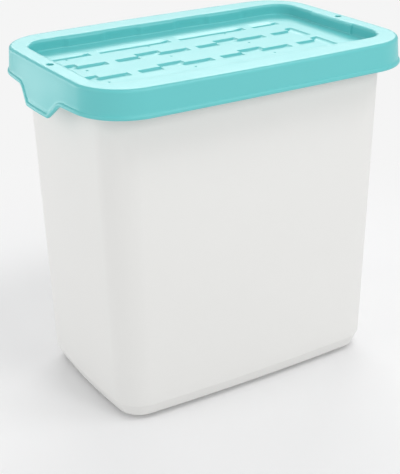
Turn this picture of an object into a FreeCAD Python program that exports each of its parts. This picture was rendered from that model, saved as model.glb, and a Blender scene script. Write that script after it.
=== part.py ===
"""Food storage tub with a snap lid, as a parametric document.

Frame: millimetres, +Z up, origin at the centre of the foot's underside, X along the long side.

tub   tapered box with a bowed, rounded outline, a raised foot and an outward rim; it is shut by
      the lid and its inside can't be seen, so it is one solid, with a pocket for the lid's tray.
lid   thin snap lid: skirt with a raised bead, a finger tab on each end, a flat ring with a hanging
      hole at each end, and a sunk panel with stepped shallow pockets, dimples and wall pads.
"""

import FreeCAD
import Part
import Sketcher
import math
import os

Vector = FreeCAD.Vector

# name, value in mm, what it sets
SIZES = [
    ("total_height", 250.0, "foot to the top of the lid"),
    ("rim_length", 247.0, "tub rim, middle of one end to middle of the other"),
    ("rim_width", 166.0, "tub rim, middle of one side to middle of the other"),
    ("rim_corner", 33.1, "corner radius of the rim"),
    ("rim_bow_ends", 0.4, "how far the rim's ends bulge"),
    ("rim_bow_sides", 1.9, "how far the rim's sides bulge"),
    ("rim_depth", 12.4, "height of the rim"),
    ("overhang_ends", 8.8, "rim beyond the wall, at the ends"),
    ("overhang_sides", 13.1, "rim beyond the wall, at the sides"),
    ("wall_corner_top", 23.4, "corner radius of the wall under the rim"),
    ("wall_corner_bottom", 21.3, "corner radius of the wall's bottom edge"),
    ("wall_bow_top", 0.8, "bulge of the wall under the rim"),
    ("wall_bow_bottom", 2.0, "bulge of the wall's bottom edge"),
    ("taper_ends", 4.7, "how far each end leans in from top to bottom"),
    ("taper_sides", 1.6, "how far each side leans in from top to bottom"),
    ("foot_step", 0.8, "step in below the wall's bottom edge"),
    ("foot_band", 9.4, "height of the sloping band below the wall"),
    ("foot_slope", 3.4, "how far the band slopes in"),
    ("foot_height", 3.2, "height of the foot ring"),
    ("foot_inset", 6.5, "foot ring inside the band"),
    ("lid_wall", 1.6, "thickness of the lid"),
    ("skirt_gap", 0.3, "play between the skirt and the rim"),
    ("skirt_depth", 19.1, "lid top to the skirt's lower edge"),
    ("skirt_flare", 3.3, "how far the skirt's ends flare out at their lower edge"),
    ("corner_flare", 1.4, "how far its corners flare out there"),
    ("edge_round", 2.4, "rounding of the lid's top edge"),
    ("crown_depth", 3.0, "upright stretch at the top of the lid, which holds the rounding"),
    ("bead_width", 2.8, "height of the raised bead along the skirt's edge"),
    ("bead_proud", 1.0, "how far the bead stands out"),
    ("tab_root", 60.0, "width of the finger tab at the skirt's edge"),
    ("tab_tip", 30.9, "width of the finger tab at its lower edge"),
    ("tab_drop", 11.2, "length of the tab below the skirt's edge"),
    ("tab_root_round", 13.0, "radius where the tab meets the skirt"),
    ("tab_tip_round", 2.9, "radius of the tab's lower corners"),
    ("ring_ends", 13.0, "width of the flat ring at the ends"),
    ("ring_sides", 21.9, "width of the flat ring at the sides"),
    ("ring_hole", 5.0, "diameter of the hole through the ring at each end"),
    ("recess_depth", 8.2, "ring down to the sunk panel"),
    ("recess_corner", 16.5, "corner radius of the recess"),
    ("recess_bow", 0.3, "bulge of the recess's walls"),
    ("recess_round", 2.3, "rounding from the ring into the recess"),
    ("tray_gap", 0.3, "play between the lid's tray and the tub"),
    ("pad_length", 32.0, "length of a pad on the recess's long walls"),
    ("pad_pitch", 59.6, "distance between those pads"),
    ("pad_offset", 3.4, "middle pad from the lid's middle, towards -X"),
    ("end_pad_length", 49.0, "length of the pad on each end wall"),
    ("pad_proud", 1.1, "how far a pad stands out of the wall"),
    ("pocket_depth", 1.4, "depth of the panel's pockets"),
    ("pocket_pitch", 65.0, "distance from pocket to pocket along the panel"),
    ("row_pitch", 32.3, "distance from row to row"),
    ("row_start", 5.5, "near edge of the middle row, from the lid's centre"),
    ("strip_width", 6.8, "width of a pocket's two outer stretches"),
    ("crest_width", 12.6, "width of its middle stretch"),
    ("lead_length", 18.0, "length of its first stretch"),
    ("crest_length", 18.5, "length of its middle stretch"),
    ("tail_length", 20.5, "length of its last stretch"),
    ("end_drop", 12.0, "how far the last pocket of a row reaches below its near edge"),
    ("end_rise", 11.4, "far edge of that end stretch, from the row's near edge"),
    ("end_length", 6.5, "length of that end stretch"),
    ("back_start", 33.0, "near edge of the plain back row, from the lid's centre"),
    ("back_width", 5.5, "width of the back row's pockets"),
    ("dimple", 1.8, "diameter of a dimple"),
    ("dimple_depth", 0.9, "depth of a dimple"),
    ("dimple_along", 37.0, "dimple from the start of its pocket"),
    ("dimple_across", 6.6, "dimple from the near edge of its pocket"),
    ("field_left", 8.4, "recess wall to the pockets' field, at -X"),
    ("field_right", 24.4, "recess wall to the pockets' field, at +X"),
    ("field_side", 24.5, "recess wall to the pockets' field, at the sides"),
]

doc = FreeCAD.newDocument("StorageTub")
sheet = doc.addObject("Spreadsheet::Sheet", "Sizes")
for row, (alias, number, note) in enumerate(SIZES, start=1):
    sheet.set(f"A{row}", note)
    sheet.set(f"B{row}", str(number))
    sheet.setAlias(f"B{row}", alias)
doc.recompute()


def expression(text):
    """Put the sheet's name before each size named in an expression."""
    words = sorted((alias for alias, _, _ in SIZES), key=len, reverse=True)
    out = []
    for token in text.split(" "):
        core = token.strip("()")
        out.append(token.replace(core, "Sizes." + core) if core in words else token)
    return " ".join(out)


def value(text):
    """Number of an expression of sizes."""
    return float(sheet.evalExpression(expression(text)))


# ---- levels and half sizes, as expressions of the sizes ------------------------------------------

RIM_TOP = "total_height - lid_wall"
RIM_UNDER = "total_height - lid_wall - rim_depth"
WALL_FOOT = "foot_height + foot_band"
SKIRT_EDGE = "total_height - skirt_depth"
TAB_EDGE = "total_height - skirt_depth - tab_drop"
PANEL = "total_height - recess_depth"
POCKET_FLOOR = "total_height - recess_depth - pocket_depth"
POCKET_RISE = "pocket_depth + 1"
TRAY_UNDER = "total_height - recess_depth - pocket_depth - lid_wall"
BLANK_EXTRA = "2"
SKIRT_FALL = "( skirt_depth - crown_depth )"

LID_HALF_LENGTH = "rim_length / 2 + skirt_gap + lid_wall"
LID_HALF_WIDTH = "rim_width / 2 + skirt_gap + lid_wall"
LID_CORNER = "rim_corner + skirt_gap + lid_wall"
RECESS_HALF_LENGTH = LID_HALF_LENGTH + " - ring_ends"
RECESS_HALF_WIDTH = LID_HALF_WIDTH + " - ring_sides"


# ---- helpers ---------------------------------------------------------------------------------------


def origin_plane(body, role):
    """Origin plane of a body, by its role."""
    return next(item for item in body.Origin.OriginFeatures if item.Role == role)


def new_body(name):
    """Empty body."""
    return doc.addObject("PartDesign::Body", name)


def new_sketch(body, name, role, offset):
    """Sketch on a plane parallel to one of the body's origin planes."""
    sketch = body.newObject("Sketcher::SketchObject", name)
    sketch.AttachmentSupport = [(origin_plane(body, role), "")]
    sketch.MapMode = "FlatFace"
    sketch.setExpression("AttachmentOffset.Base.z", expression(offset))
    return sketch


def constrain(sketch, name, text, kind, *where):
    """Add a dimension to a sketch and bind it to an expression of the sizes."""
    index = sketch.addConstraint(Sketcher.Constraint(kind, *where, value(text)))
    sketch.renameConstraint(index, name)
    sketch.setExpression("Constraints." + name, expression(text))


def outline(body, name, level, half_length, half_width, corner, bow_ends, bow_sides):
    """Sketch of a rounded rectangle whose four sides bulge, at a height.

    It has eight tangent arcs: a shallow one on each side, centred on an axis, and four equal
    corners. A side's radius follows from its chord and its bulge: (chord^2 + bow^2) / (2 bow).
    """
    end_radius = (
        f"( ( {half_width} - ( {corner} ) ) ^ 2 + ( {bow_ends} ) ^ 2 ) / ( 2 * ( {bow_ends} ) )"
    )
    side_radius = (
        f"( ( {half_length} - ( {corner} ) ) ^ 2 + ( {bow_sides} ) ^ 2 ) / ( 2 * ( {bow_sides} ) )"
    )
    end_centre = f"{end_radius} - ( {half_length} )"
    side_centre = f"{side_radius} - ( {half_width} )"

    end_r, side_r, corner_r = value(end_radius), value(side_radius), value(corner)
    end_c, side_c = Vector(-value(end_centre), 0, 0), Vector(0, -value(side_centre), 0)
    # the corner's centre is end_r - corner_r from one centre and side_r - corner_r from the other
    reach_end, reach_side = end_r - corner_r, side_r - corner_r
    apart = (side_c - end_c).Length
    along = (reach_end**2 - reach_side**2 + apart**2) / (2 * apart)
    ray = (side_c - end_c) / apart
    across = Vector(-ray.y, ray.x, 0) * math.sqrt(reach_end**2 - along**2)
    corner_c = end_c + ray * along + across
    if corner_c.x < 0:
        corner_c = end_c + ray * along - across
    end_turn = math.atan2(corner_c.y - end_c.y, corner_c.x - end_c.x)
    side_turn = math.atan2(corner_c.y - side_c.y, corner_c.x - side_c.x)

    sketch = new_sketch(body, name, "XY_Plane", level)
    up = Vector(0, 0, 1)

    def arc(centre, radius, start, end):
        sketch.addGeometry(Part.ArcOfCircle(Part.Circle(centre, up, radius), start, end), False)

    half_turn = math.pi
    arc(end_c, end_r, -end_turn, end_turn)
    arc(corner_c, corner_r, end_turn, side_turn)
    arc(side_c, side_r, side_turn, half_turn - side_turn)
    arc(Vector(-corner_c.x, corner_c.y, 0), corner_r, half_turn - side_turn, half_turn - end_turn)
    arc(-end_c, end_r, half_turn - end_turn, half_turn + end_turn)
    arc(-corner_c, corner_r, half_turn + end_turn, half_turn + side_turn)
    arc(-side_c, side_r, half_turn + side_turn, 2 * half_turn - side_turn)
    arc(Vector(corner_c.x, -corner_c.y, 0), corner_r, 2 * half_turn - side_turn,
        2 * half_turn - end_turn)

    count = 8
    x_axis, y_axis, origin, start_point, end_point, centre_point = -1, -2, 1, 1, 2, 3
    for index in range(count):
        sketch.addConstraint(
            Sketcher.Constraint("Tangent", index, end_point, (index + 1) % count, start_point)
        )
    for index in (0, 4):
        sketch.addConstraint(Sketcher.Constraint("PointOnObject", index, centre_point, x_axis))
    for index in (2, 6):
        sketch.addConstraint(Sketcher.Constraint("PointOnObject", index, centre_point, y_axis))
    for first, second in ((1, 3), (1, 5), (1, 7), (0, 4), (2, 6)):
        sketch.addConstraint(Sketcher.Constraint("Equal", first, second))
    constrain(sketch, "corner", corner, "Radius", 1)
    constrain(sketch, "end_radius", end_radius, "Radius", 0)
    constrain(sketch, "side_radius", side_radius, "Radius", 2)
    constrain(sketch, "end_low", end_centre, "DistanceX", 0, centre_point, x_axis, origin)
    constrain(sketch, "end_high", end_centre, "DistanceX", x_axis, origin, 4, centre_point)
    constrain(sketch, "side_low", side_centre, "DistanceY", 2, centre_point, x_axis, origin)
    constrain(sketch, "side_high", side_centre, "DistanceY", x_axis, origin, 6, centre_point)
    return sketch


def loft(body, name, sketches, cut=False):
    """Ruled loft through outlines, added to the body or cut from it."""
    kind = "PartDesign::SubtractiveLoft" if cut else "PartDesign::AdditiveLoft"
    feature = body.newObject(kind, name)
    feature.Profile = sketches[0]
    feature.Sections = sketches[1:]
    feature.Ruled = True
    doc.recompute()
    return feature


def pad(body, name, sketch, length, side="One side"):
    """Straight extrusion of a sketch."""
    feature = body.newObject("PartDesign::Pad", name)
    feature.Profile = sketch
    feature.SideType = side
    feature.setExpression("Length", expression(length))
    doc.recompute()
    return feature


def fillet(body, name, chosen, radius):
    """Round the edges of the body's shape that chosen() picks."""
    base = body.Tip
    names = [f"Edge{i}" for i, edge in enumerate(base.Shape.Edges, start=1) if chosen(edge)]
    feature = body.newObject("PartDesign::Fillet", name)
    feature.Base = (base, names)
    feature.setExpression("Radius", expression(radius))
    doc.recompute()
    return feature


def box(name, low, size):
    """Box from its low corner and its three sizes, each an expression."""
    item = doc.addObject("Part::Box", name)
    for key, text in zip(("Length", "Width", "Height"), size):
        item.setExpression(key, expression(text))
    for key, text in zip("xyz", low):
        item.setExpression("Placement.Base." + key, expression(text))
    return item


def cylinder(name, centre, diameter, height):
    """Upright cylinder from the centre of its lower face."""
    item = doc.addObject("Part::Cylinder", name)
    item.setExpression("Radius", expression(f"{diameter} / 2"))
    item.setExpression("Height", expression(height))
    for key, text in zip("xyz", centre):
        item.setExpression("Placement.Base." + key, expression(text))
    return item


def boolean(kind, name, *items):
    """Cut, common or fusion of objects."""
    item = doc.addObject("Part::" + kind, name)
    if kind == "MultiFuse":
        item.Shapes = list(items)
    else:
        item.Base, item.Tool = items
    doc.recompute()
    return item


# ---- tub -------------------------------------------------------------------------------------------


def wall_outline(body, name, level, inset, corner, bow):
    """Outline of the tub's wall or foot: the rim's size less the overhang and an inset."""
    ends, sides = inset
    return outline(
        body, name, level,
        f"rim_length / 2 - overhang_ends - ( {ends} )",
        f"rim_width / 2 - overhang_sides - ( {sides} )",
        corner, bow, bow,
    )


def rim_outline(body, name, level):
    """Outline of the rim."""
    return outline(
        body, name, level, "rim_length / 2", "rim_width / 2", "rim_corner",
        "rim_bow_ends", "rim_bow_sides",
    )


def recess_outline(body, name, level, grow):
    """Outline of the lid's recess, grown by a wall or a clearance."""
    return outline(
        body, name, level,
        f"{RECESS_HALF_LENGTH} + {grow}",
        f"{RECESS_HALF_WIDTH} + {grow}",
        f"recess_corner + {grow}",
        "recess_bow", "recess_bow",
    )


def make_tub():
    """Foot ring, sloping band, tapered wall and rim, with a pocket for the lid's tray."""
    body = new_body("TubBody")
    step = ("taper_ends + foot_step", "taper_sides + foot_step")
    band = ("taper_ends + foot_step + foot_slope", "taper_sides + foot_step + foot_slope")
    foot = (band[0] + " + foot_inset", band[1] + " + foot_inset")
    foot_corner = "wall_corner_bottom - foot_step - foot_inset"
    band_corner = "wall_corner_bottom - foot_step"

    loft(body, "Wall", [
        wall_outline(body, "WallBottom", WALL_FOOT, ("taper_ends", "taper_sides"),
                     "wall_corner_bottom", "wall_bow_bottom"),
        wall_outline(body, "WallTop", RIM_UNDER, ("0", "0"), "wall_corner_top", "wall_bow_top"),
    ])
    loft(body, "Band", [
        wall_outline(body, "BandTop", WALL_FOOT, step, band_corner, "wall_bow_bottom"),
        wall_outline(body, "BandBottom", "foot_height", band, band_corner, "wall_bow_bottom"),
    ])
    loft(body, "Foot", [
        wall_outline(body, "FootTop", "foot_height", foot, foot_corner, "wall_bow_bottom"),
        wall_outline(body, "FootBottom", "0", foot, foot_corner, "wall_bow_bottom"),
    ])
    loft(body, "Rim", [
        rim_outline(body, "RimBottom", RIM_UNDER),
        rim_outline(body, "RimTop", RIM_TOP),
    ])
    loft(body, "TrayPocket", [
        recess_outline(body, "PocketFloor", f"{TRAY_UNDER} - tray_gap", "lid_wall + tray_gap"),
        recess_outline(body, "PocketMouth", RIM_TOP, "lid_wall + tray_gap"),
    ], cut=True)
    body.Label = "tub"
    return body


# ---- lid -------------------------------------------------------------------------------------------


def skirt_outline(body, name, level, grow, share=None):
    """Outline of the lid, grown or shrunk, and flared where a share of the flare is given.

    The middle of each end flares by the share. The corners flare as far as they do at the skirt's
    edge, and the middle of each side stays.
    """
    flare, corner = (f"skirt_flare * ( {share} )", "corner_flare") if share else ("0", "0")
    return outline(
        body, name, level,
        f"{LID_HALF_LENGTH} + {grow} + {flare}",
        f"{LID_HALF_WIDTH} + {grow}",
        f"{LID_CORNER} + {grow} + {corner}",
        f"rim_bow_ends + {flare} - {corner}",
        f"rim_bow_sides - {corner}",
    )


def skirt_loft(body, name, grow, top, cut=False):
    """Flared skirt from below the tabs to the skirt's edge and up to a top outline.

    Below the skirt's edge the ends go on flaring, so a tab lies in the same plane as its end.
    """
    below = f"( tab_drop + {BLANK_EXTRA} ) / {SKIRT_FALL}"
    return loft(body, name, [
        skirt_outline(body, name + "Low", f"{TAB_EDGE} - {BLANK_EXTRA}", grow, f"1 + {below}"),
        skirt_outline(body, name + "Edge", SKIRT_EDGE, grow, "1"),
        top,
    ], cut)


def make_shell():
    """Lid without its tabs' outline: skirt, ring and sunk tray."""
    body = new_body("ShellBody")
    crown_low = "total_height - crown_depth"
    pad(body, "Crown", skirt_outline(body, "CrownLow", crown_low, "0"), "crown_depth")
    top = value("total_height")
    fillet(body, "TopEdge", lambda edge: all(abs(v.Z - top) < 1e-4 for v in edge.Vertexes),
           "edge_round")
    skirt_loft(body, "Outside", "0", skirt_outline(body, "OutsideTop", crown_low, "0"))
    within = "( 0 - lid_wall )"
    skirt_loft(body, "Inside", within, skirt_outline(body, "InsideTop", RIM_TOP, within), cut=True)
    tray_top = "total_height - lid_wall / 2"
    loft(body, "Tray", [
        recess_outline(body, "TrayUnder", TRAY_UNDER, "lid_wall"),
        recess_outline(body, "TrayTop", tray_top, "lid_wall"),
    ])
    loft(body, "Recess", [
        recess_outline(body, "RecessFloor", PANEL, "0"),
        recess_outline(body, "RecessMouth", f"total_height + {BLANK_EXTRA}", "0"),
    ], cut=True)
    mouth_x, mouth_y = value(RECESS_HALF_LENGTH) + 1e-3, value(RECESS_HALF_WIDTH) + 1e-3

    def on_mouth(edge):
        points = [vertex.Point for vertex in edge.Vertexes]
        return all(abs(p.z - top) < 1e-4 and abs(p.x) < mouth_x and abs(p.y) < mouth_y
                   for p in points)

    fillet(body, "RecessEdge", on_mouth, "recess_round")
    return body


def edge_tool(name, inset, far_level):
    """Prism along X bounded by the skirt's lower edge and the tabs, moved up by an inset.

    Seen along X the edge runs level, drops down a slanted side to the tab's tip and comes back.
    A slanted side moves by inset * (lean - side length) / drop, so the band keeps its width.
    """
    body = new_body(name)
    half_span = f"{LID_HALF_WIDTH} + {BLANK_EXTRA} * 4"
    lean = "( tab_root - tab_tip ) / 2"
    shift = f"( {inset} ) * ( {lean} - sqrt( ( {lean} ) ^ 2 + tab_drop ^ 2 ) ) / tab_drop"
    root = f"tab_root / 2 + {shift}"
    tip = f"tab_tip / 2 + {shift}"
    edge = f"{SKIRT_EDGE} + {inset}"
    tip_edge = f"{TAB_EDGE} + {inset}"
    path = [
        (half_span, far_level), (half_span, edge), (root, edge), (tip, tip_edge),
    ]
    corners = [(1, y, z) for y, z in path] + [(-1, y, z) for y, z in reversed(path)]

    sketch = new_sketch(body, name + "Sketch", "YZ_Plane", "0")
    points = [Vector(sign * value(y), value(z), 0) for sign, y, z in corners]
    count = len(points)
    start_point, end_point, origin, x_axis = 1, 2, 1, -1
    for index in range(count):
        sketch.addGeometry(Part.LineSegment(points[index], points[(index + 1) % count]), False)
    for index in range(count):
        sketch.addConstraint(
            Sketcher.Constraint("Coincident", index, end_point, (index + 1) % count, start_point)
        )
    for index, (sign, y, z) in enumerate(corners):
        ends = (x_axis, origin, index, start_point)
        if sign < 0:
            ends = (index, start_point, x_axis, origin)
        constrain(sketch, f"across{index}", y, "DistanceX", *ends)
        constrain(sketch, f"level{index}", z, "DistanceY", x_axis, origin, index, start_point)

    length = f"rim_length + ( skirt_flare + {BLANK_EXTRA} ) * 8"
    pad(body, name + "Pad", sketch, length, "Symmetric")

    def at_corner(half, level):
        def chosen(edge):
            if len(edge.Vertexes) != 2:
                return False
            first, second = (vertex.Point for vertex in edge.Vertexes)
            along = abs(first.x - second.x) > 1.0 and abs(first.y - second.y) < 1e-4
            return (along and abs(abs(first.y) - value(half)) < 1e-4
                    and abs(first.z - value(level)) < 1e-4)
        return chosen

    fillet(body, name + "Root", at_corner(root, edge), f"tab_root_round + {inset}")
    fillet(body, name + "Tip", at_corner(tip, tip_edge),
           f"max( tab_tip_round - {inset} ; lid_wall / 4 )")
    return body


def make_bead(trim):
    """Raised band that follows the skirt's lower edge and the tabs, of one width."""
    body = new_body("BandBody")
    rise = f"bead_width + {BLANK_EXTRA}"
    level, share = f"{SKIRT_EDGE} + {rise}", f"1 - ( {rise} ) / {SKIRT_FALL}"
    grow, within = "bead_proud", "( 0 - lid_wall / 2 )"
    skirt_loft(body, "BeadOut", grow, skirt_outline(body, "BeadOutTop", level, grow, share))
    skirt_loft(body, "BeadIn", within, skirt_outline(body, "BeadInTop", level, within, share),
               cut=True)
    above = edge_tool("AboveBead", "bead_width", "total_height + 10")
    trimmed = boolean("Cut", "BeadTrimmed", body, trim)
    return boolean("Cut", "Bead", trimmed, above)


def make_pads():
    """Low pads on the recess's walls: three on each long wall and one on each end wall."""
    sink = "lid_wall / 2"
    depth = f"( pad_proud + recess_bow + {sink} )"
    height = "recess_depth - recess_round + lid_wall / 2"
    level = f"{PANEL} - lid_wall / 2"
    pads = []
    for index in (-1, 0, 1):
        low_x = f"{index} * pad_pitch - pad_offset - pad_length / 2"
        far_y = f"{RECESS_HALF_WIDTH} - recess_bow - pad_proud"
        near_y = f"0 - ( {far_y} ) - {depth}"
        for side, low_y in (("Far", far_y), ("Near", near_y)):
            pads.append(box(f"{side}Pad{index + 2}", (low_x, low_y, level),
                            ("pad_length", depth, height)))
    high_x = f"{RECESS_HALF_LENGTH} - recess_bow - pad_proud"
    low_x = f"0 - ( {high_x} ) - {depth}"
    for side, start in (("Right", high_x), ("Left", low_x)):
        pads.append(box(f"{side}Pad", (start, "0 - end_pad_length / 2", level),
                        (depth, "end_pad_length", height)))
    return pads


def tag(column, row):
    """Short name of a place in the pattern."""
    return f"C{column}R{row}".replace("-", "M")


def pocket(column, row):
    """One stepped pocket: a strip, a wider crest and a strip."""
    start_x = f"{column} * pocket_pitch"
    start_y = f"row_start + {row} * row_pitch"
    stretches = (
        ("Lead", start_x, "lead_length", "strip_width"),
        ("Crest", f"{start_x} + lead_length", "crest_length", "crest_width"),
        ("Tail", f"{start_x} + lead_length + crest_length", "tail_length", "strip_width"),
    )
    return [
        box(name + tag(column, row), (low_x, start_y, POCKET_FLOOR), (length, width, POCKET_RISE))
        for name, low_x, length, width in stretches
    ]


def back_pocket(column):
    """One straight pocket of the back row."""
    return box(
        "Back" + tag(column, 1),
        (f"{column} * pocket_pitch", "back_start", POCKET_FLOOR),
        ("lead_length + crest_length + tail_length", "back_width", POCKET_RISE),
    )


def row_end(row):
    """Stretch across the row, where the field cuts its last pocket off."""
    return box(
        "End" + tag(0, row),
        (f"{RECESS_HALF_LENGTH} - field_right - end_length",
         f"row_start + {row} * row_pitch - end_drop", POCKET_FLOOR),
        ("end_length + 1", "end_drop + end_rise", POCKET_RISE),
    )


def dimple(column, row):
    """Small round dimple between the rows."""
    return cylinder(
        "Dimple" + tag(column, row),
        (f"{column} * pocket_pitch + dimple_along",
         f"row_start + {row} * row_pitch - dimple_across", f"{PANEL} - dimple_depth"),
        "dimple", "dimple_depth + 1",
    )


def make_relief():
    """Two stepped rows, a plain back row and dimples, kept to a field inside the recess."""
    low_x = value(f"field_left - ( {RECESS_HALF_LENGTH} )")
    high_x = value(f"{RECESS_HALF_LENGTH} - field_right")
    pitch = value("pocket_pitch")
    columns = range(math.floor(low_x / pitch), math.ceil(high_x / pitch))
    stepped_rows = (-1, 0)
    dimple_rows = (-1, 0, 1)
    items = [piece for row in stepped_rows for column in columns for piece in pocket(column, row)]
    items += [row_end(row) for row in stepped_rows]
    items += [back_pocket(column) for column in columns]
    items += [dimple(column, row) for row in dimple_rows for column in columns]
    pattern = boolean("MultiFuse", "Pattern", *items)
    field = box(
        "Field",
        (f"field_left - ( {RECESS_HALF_LENGTH} )", f"field_side - ( {RECESS_HALF_WIDTH} )",
         f"{POCKET_FLOOR} - 1"),
        (f"2 * ( {RECESS_HALF_LENGTH} ) - field_left - field_right",
         f"2 * ( {RECESS_HALF_WIDTH} ) - 2 * field_side", "pocket_depth + 3"),
    )
    return boolean("Common", "Relief", pattern, field)


def make_lid():
    """Shell trimmed to the tabs, with bead, pads, relief and ring holes."""
    shell = make_shell()
    trim = edge_tool("BelowEdge", "0", f"{TAB_EDGE} - {BLANK_EXTRA} * 4")
    trimmed = boolean("Cut", "ShellTrimmed", shell, trim)
    bead = make_bead(trim)
    body = boolean("MultiFuse", "LidSolid", trimmed, bead, *make_pads())
    centre = f"{LID_HALF_LENGTH} - ring_ends / 2"
    holes = [
        cylinder(f"RingHole{index}", (f"{sign} * ( {centre} )", "0", f"{RIM_TOP} - 1"),
                 "ring_hole", "lid_wall + 2")
        for index, sign in enumerate((-1, 1), start=1)
    ]
    cuts = boolean("MultiFuse", "LidCuts", make_relief(), *holes)
    lid = boolean("Cut", "Lid", body, cuts)
    lid.Label = "lid"
    return lid


# ---- build and write ---------------------------------------------------------------------------------

sub_parts = [make_tub(), make_lid()]
doc.recompute()

failed = [item.Name for item in doc.Objects if {"Invalid", "Error"} & set(item.State)]
if failed:
    raise SystemExit(f"failed objects: {failed}")
for item in sub_parts:
    shape = item.Shape
    if shape.isNull() or not shape.isValid() or len(shape.Solids) != 1:
        raise SystemExit(f"{item.Label}: not one valid solid ({len(shape.Solids)})")

os.makedirs("parts", exist_ok=True)
for item in sub_parts:
    item.Shape.exportStep(os.path.join("parts", item.Label + ".step"))
    bounds = item.Shape.BoundBox
    print(item.Label, round(item.Shape.Volume / 1000, 2), "cm3",
          [round(n, 2) for n in (bounds.XMin, bounds.XMax, bounds.YMin, bounds.YMax,
                                 bounds.ZMin, bounds.ZMax)])
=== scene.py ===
"""A shut food storage container: a tall white tub and a turquoise snap lid.

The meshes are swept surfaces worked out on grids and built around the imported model. Lengths are in
millimetres in the classes and become metres when a mesh is made. X runs along the long side, +Z is
up and the origin is the centre of the foot's underside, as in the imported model.
"""

import logging
import math
from dataclasses import dataclass, replace
from enum import Enum
from typing import Any

import bpy
import numpy as np
from mathutils import Matrix, Vector
from numpy.typing import NDArray

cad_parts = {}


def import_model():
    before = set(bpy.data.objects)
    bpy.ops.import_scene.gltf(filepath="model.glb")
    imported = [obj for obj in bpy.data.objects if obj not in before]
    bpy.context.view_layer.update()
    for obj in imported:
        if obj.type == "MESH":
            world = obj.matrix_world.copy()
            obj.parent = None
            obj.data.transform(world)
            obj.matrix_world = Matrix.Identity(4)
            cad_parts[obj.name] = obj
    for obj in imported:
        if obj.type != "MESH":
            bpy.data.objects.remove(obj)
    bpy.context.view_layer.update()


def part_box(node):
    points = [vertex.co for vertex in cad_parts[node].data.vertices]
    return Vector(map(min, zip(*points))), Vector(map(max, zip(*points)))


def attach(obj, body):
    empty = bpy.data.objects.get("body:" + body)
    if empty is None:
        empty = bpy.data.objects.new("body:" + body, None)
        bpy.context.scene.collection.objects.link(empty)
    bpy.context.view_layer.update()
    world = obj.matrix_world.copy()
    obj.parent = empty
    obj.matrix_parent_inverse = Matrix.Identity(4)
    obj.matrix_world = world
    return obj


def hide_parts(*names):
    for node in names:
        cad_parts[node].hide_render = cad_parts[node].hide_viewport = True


Array = NDArray[np.float64]
LOG = logging.getLogger("storage_tub")
MM = 0.001
EVEN_WHITE = (1.0, 1.0, 1.0, 1.0)


# ---- shader graphs -----------------------------------------------


@dataclass(frozen=True)
class Value:
    """A node's output socket in a shader expression; each operator adds a Math node."""

    graph: "Graph"
    source: bpy.types.NodeSocket

    def __add__(self, other: Any) -> "Value":
        """Sum."""
        return self.graph.math("ADD", self, other)

    def __radd__(self, other: Any) -> "Value":
        """Sum with the number first."""
        return self.graph.math("ADD", other, self)

    def __sub__(self, other: Any) -> "Value":
        """Difference."""
        return self.graph.math("SUBTRACT", self, other)

    def __rsub__(self, other: Any) -> "Value":
        """Difference with the number first."""
        return self.graph.math("SUBTRACT", other, self)

    def __mul__(self, other: Any) -> "Value":
        """Product."""
        return self.graph.math("MULTIPLY", self, other)

    def __rmul__(self, other: Any) -> "Value":
        """Product with the number first."""
        return self.graph.math("MULTIPLY", other, self)

    def __truediv__(self, other: Any) -> "Value":
        """Quotient."""
        return self.graph.math("DIVIDE", self, other)

    def smooth(self, low: float, high: float) -> "Value":
        """Smooth step of this value from 0 at low to 1 at high.

        Args:
            low: where the step starts.
            high: where it ends.

        Returns:
            The stepped value.
        """
        return self.graph.node(
            "ShaderNodeMapRange",
            {"interpolation_type": "SMOOTHSTEP"},
            {"Value": self, "From Min": low, "From Max": high},
        ).out("Result")


@dataclass(frozen=True)
class Node:
    """A node of a graph, whose outputs are taken by name."""

    graph: "Graph"
    made: bpy.types.Node

    def out(self, name: str) -> Value:
        """Output of that name, among the ones in use."""
        socket = next(s for s in self.made.outputs if s.name == name and s.enabled)
        return Value(self.graph, socket)


class Graph:
    """Node tree of a material or a world, written as expressions."""

    def __init__(self, owner: bpy.types.ID) -> None:
        """Empty the owner's node tree.

        Args:
            owner: a material or a world.
        """
        owner.use_nodes = True
        self.tree = owner.node_tree
        self.tree.nodes.clear()

    def node(self, kind: str, settings: dict[str, Any], values: dict[Any, Any]) -> Node:
        """Add a node, set it up and feed its sockets.

        Args:
            kind: Blender's type of the node.
            settings: the node's own settings, set before its sockets.
            values: number, colour, Value or Node output for each socket's name or index.

        Returns:
            The node.
        """
        made = self.tree.nodes.new(kind)
        for name, setting in settings.items():
            setattr(made, name, setting)
        for name, value in values.items():
            if isinstance(name, int):
                socket = made.inputs[name]
            else:
                socket = next(s for s in made.inputs if s.name == name and s.enabled)
            if isinstance(value, Value):
                self.tree.links.new(value.source, socket)
            else:
                socket.default_value = value
        return Node(self, made)

    def math(self, operation: str, first: Any, second: Any) -> Value:
        """Math node of two values."""
        made = self.node("ShaderNodeMath", {"operation": operation}, {0: first, 1: second})
        return made.out("Value")

    def mix(self, amount: Any, first: Any, second: Any) -> Value:
        """Blend two colours.

        Args:
            amount: share of the second colour, a number or a Value.
            first: colour or Value.
            second: colour or Value.

        Returns:
            The blended colour.
        """
        made = self.node(
            "ShaderNodeMix",
            {"data_type": "RGBA"},
            {"Factor": amount, "A": first, "B": second},
        )
        return made.out("Result")

    def place(self) -> Value:
        """Object coordinates, in metres."""
        return self.node("ShaderNodeTexCoord", {}, {}).out("Object")

    def noise(self, vector: Value, grain: float, detail: float = 2.0) -> Value:
        """Noise whose features are about a grain across.

        Args:
            vector: coordinates in metres.
            grain: size of a feature, in millimetres.
            detail: number of finer octaves.

        Returns:
            Noise from 0 to 1, with mean 0.5.
        """
        return self.node(
            "ShaderNodeTexNoise",
            {"noise_dimensions": "3D"},
            {"Vector": vector, "Scale": 1.0 / (grain * MM), "Detail": detail},
        ).out("Fac")


# ---- finishes ----------------------------------------------------


class Surfacing(Enum):
    """How the mould's face was worked before it made the piece."""

    SATIN = 0.34
    EGGSHELL = 0.42


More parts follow.
